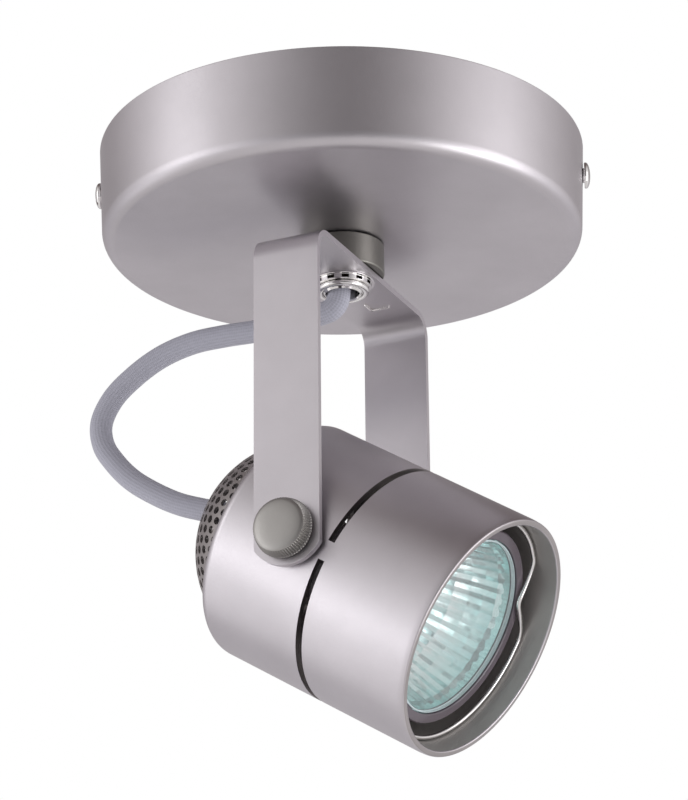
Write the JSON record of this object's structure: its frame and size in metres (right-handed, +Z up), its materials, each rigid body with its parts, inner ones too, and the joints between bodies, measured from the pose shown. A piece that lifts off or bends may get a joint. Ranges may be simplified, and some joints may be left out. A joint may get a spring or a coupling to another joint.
{
  "type": "track spotlight",
  "caption": "Ceiling spotlight: round canopy, swivelling U stirrup, tilting barrel with twist-lock reflector lamp, thumb knobs, perforated back and sleeved lead.",
  "frame": {"origin": "centre of the canopy on the ceiling plane", "axes": "+Z up, out of the ceiling side; +X the side the barrel faces; the tilt axis runs along Y"},
  "size_m": [0.132, 0.1224, 0.1592],
  "materials": {
    "satin_nickel": "satin nickel plate, fine bead-blasted",
    "dark_nickel": "darker satin nickel, turned",
    "perforated_steel": "satin, round perforations",
    "bright_chrome": "bright plate",
    "zinc_steel": "zinc plate",
    "green_screw": "green earth screw",
    "woven_sleeve": "woven glass-fibre sleeve",
    "wire_insulation": "silicone insulation",
    "washer_fibre": "matt",
    "ceramic": "unglazed ceramic",
    "dichroic_glass": "faceted dichroic mirror glass",
    "clear_glass": "clear"
  },
  "bodies": {
    "canopy_mount": {"canopy": "satin_nickel", "mounting_bar": "zinc_steel", "canopy_screw_right": "bright_chrome", "canopy_screw_left": "bright_chrome", "ground_screw": "green_screw", "threaded_nipple": "bright_chrome", "inner_lock_washer": "zinc_steel", "inner_locknut": "zinc_steel", "swivel_stub": "dark_nickel", "tooth_lock_washer": "bright_chrome", "ring_nut": "bright_chrome"},
    "stirrup": {"yoke": "satin_nickel", "lamp_lead": "woven_sleeve"},
    "head": {"barrel": "satin_nickel", "rear_grille": "perforated_steel", "socket_bracket": "zinc_steel", "lamp_socket": "ceramic", "socket_screw_1": "zinc_steel", "socket_screw_2": "zinc_steel", "socket_wire_1": "wire_insulation", "socket_wire_2": "wire_insulation", "spacer_washer_near": "washer_fibre", "spacer_washer_far": "washer_fibre"},
    "knob_near_body": {"knob_near": "dark_nickel", "knob_stud_near": "zinc_steel", "knob_washer_near": "zinc_steel"},
    "knob_far_body": {"knob_far": "dark_nickel", "knob_stud_far": "zinc_steel", "knob_washer_far": "zinc_steel"},
    "lamp": {"lamp_reflector": "dichroic_glass", "lamp_cover_glass": "clear_glass", "lamp_capsule": "clear_glass", "lamp_base": "ceramic", "lamp_pin_1": "zinc_steel", "lamp_pin_2": "zinc_steel"},
    "clip": {"retaining_wire": "bright_chrome"}
  },
  "joints": [
    {"name": "yoke_swivel", "type": "hinge", "parent": "canopy_mount", "child": "stirrup", "pos_m": [0, 0, -0.035], "axis": [0, 0, 1], "range_deg": [-175, 175]},
    {"name": "head_tilt", "type": "hinge", "parent": "stirrup", "child": "head", "pos_m": [0, 0, -0.1115], "axis": [0, 1, 0], "range_deg": [-32.15, 57.85], "deforming": ["lamp_lead"]},
    {"name": "knob_near_turn", "type": "hinge", "parent": "head", "child": "knob_near_body", "pos_m": [0, -0.0359, -0.1115], "axis": [0, -1, 0], "range_deg": [0, 360]},
    {"name": "knob_far_turn", "type": "hinge", "parent": "head", "child": "knob_far_body", "pos_m": [0, 0.0359, -0.1115], "axis": [0, 1, 0], "range_deg": [0, 360]},
    {"name": "lamp_twist", "type": "hinge", "parent": "head", "child": "lamp", "pos_m": [0, 0, -0.1115], "axis": [0.8467, 0, -0.5321], "range_deg": [0, 25]},
    {"name": "clip_pull", "type": "slide", "parent": "head", "child": "clip", "axis": [0.8467, 0, -0.5321], "range_m": [0, 0.02]}
  ]
}
